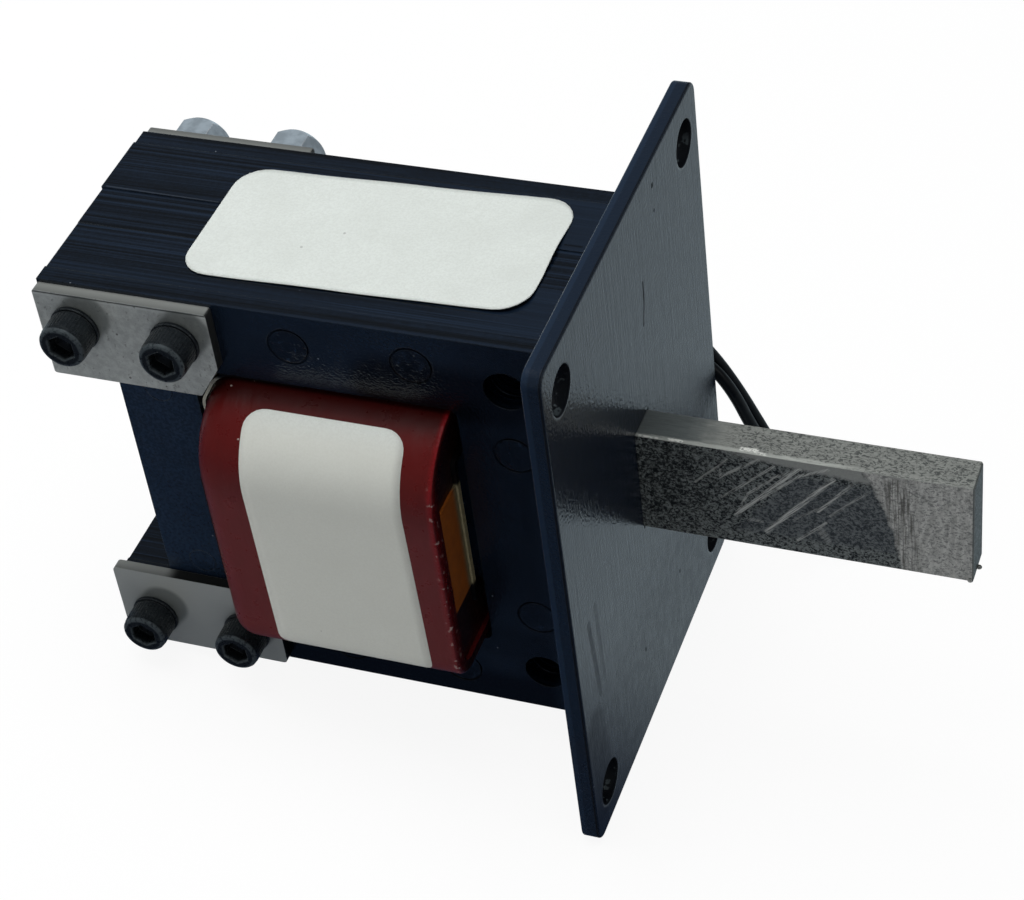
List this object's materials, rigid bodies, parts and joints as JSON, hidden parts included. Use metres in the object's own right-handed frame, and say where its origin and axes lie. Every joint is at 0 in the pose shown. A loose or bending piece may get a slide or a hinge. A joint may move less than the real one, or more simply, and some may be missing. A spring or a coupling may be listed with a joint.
{
  "type": "push solenoid",
  "caption": "Laminated push solenoid: C-shaped field with a varnished coil, a T-shaped plunger between guide plates, a flat push bar and a slotted mounting flange.",
  "frame": {"origin": "centre of the mounting flange's front face", "axes": "+X out of the flange along the push bar, +Z towards the labelled top of the field, +Y across the laminations towards the nuts and the leads"},
  "size_m": [0.1456, 0.1047, 0.1064],
  "materials": {
    "field_paint": "dark navy enamel over lamination edges and side plates, slightly uneven",
    "flange_paint": "dark navy gloss enamel",
    "plunger_paint": "dark navy enamel, worn where it slides",
    "plate_steel": "satin zinc, fine grain",
    "black_oxide": "black oxide with a light oil sheen",
    "zinc_plate": "bright bluish zinc plate",
    "nylon": "milky nylon",
    "bar_steel": "cold drawn bar with dark streaks and a ground end",
    "pin_steel": "drawn steel, painted over at its ends",
    "spring_steel": "bright spring steel",
    "copper": "enamelled copper",
    "varnish": "red brown baked varnish over tape, half gloss",
    "bobbin": "moulded glass filled insulation",
    "insulation_sheet": "amber varnished sheet",
    "label_stock": "off white label stock, satin",
    "lead_black": "black lead insulation, satin",
    "tinned_wire": "tinned strands"
  },
  "bodies": {
    "frame": {"near_lamination_packet": "field_paint", "centre_lamination_packet": "field_paint", "far_lamination_packet": "field_paint", "near_side_plate": "field_paint", "far_side_plate": "field_paint", "field_rivets": "field_paint", "flange_welds": "flange_paint", "mounting_flange": "flange_paint", "upper_near_guide_plate": "plate_steel", "lower_near_guide_plate": "plate_steel", "upper_far_guide_plate": "plate_steel", "lower_far_guide_plate": "plate_steel", "clamp_screws": "black_oxide", "lock_nuts": "zinc_plate", "nut_inserts": "nylon", "shading_ring": "copper", "coil_tube": "bobbin", "coil_winding": "copper", "coil_jacket": "varnish", "insulating_strips": "insulation_sheet", "retaining_spring": "spring_steel", "frame_label": "label_stock", "coil_label": "label_stock", "lead_boot": "lead_black", "lead_sleeves": "lead_black", "lead_a": "lead_black", "lead_b": "lead_black", "lead_tip_a": "tinned_wire", "lead_tip_b": "tinned_wire"},
    "plunger": {"plunger_laminations": "plunger_paint", "plunger_near_plate": "plunger_paint", "plunger_far_plate": "plunger_paint", "plunger_rivets": "plunger_paint", "bar_pins": "pin_steel", "push_bar": "bar_steel"}
  },
  "joints": [
    {"name": "plunger_slide", "type": "slide", "parent": "frame", "child": "plunger", "axis": [1, 0, 0], "range_m": [-0.01905, 0]}
  ]
}
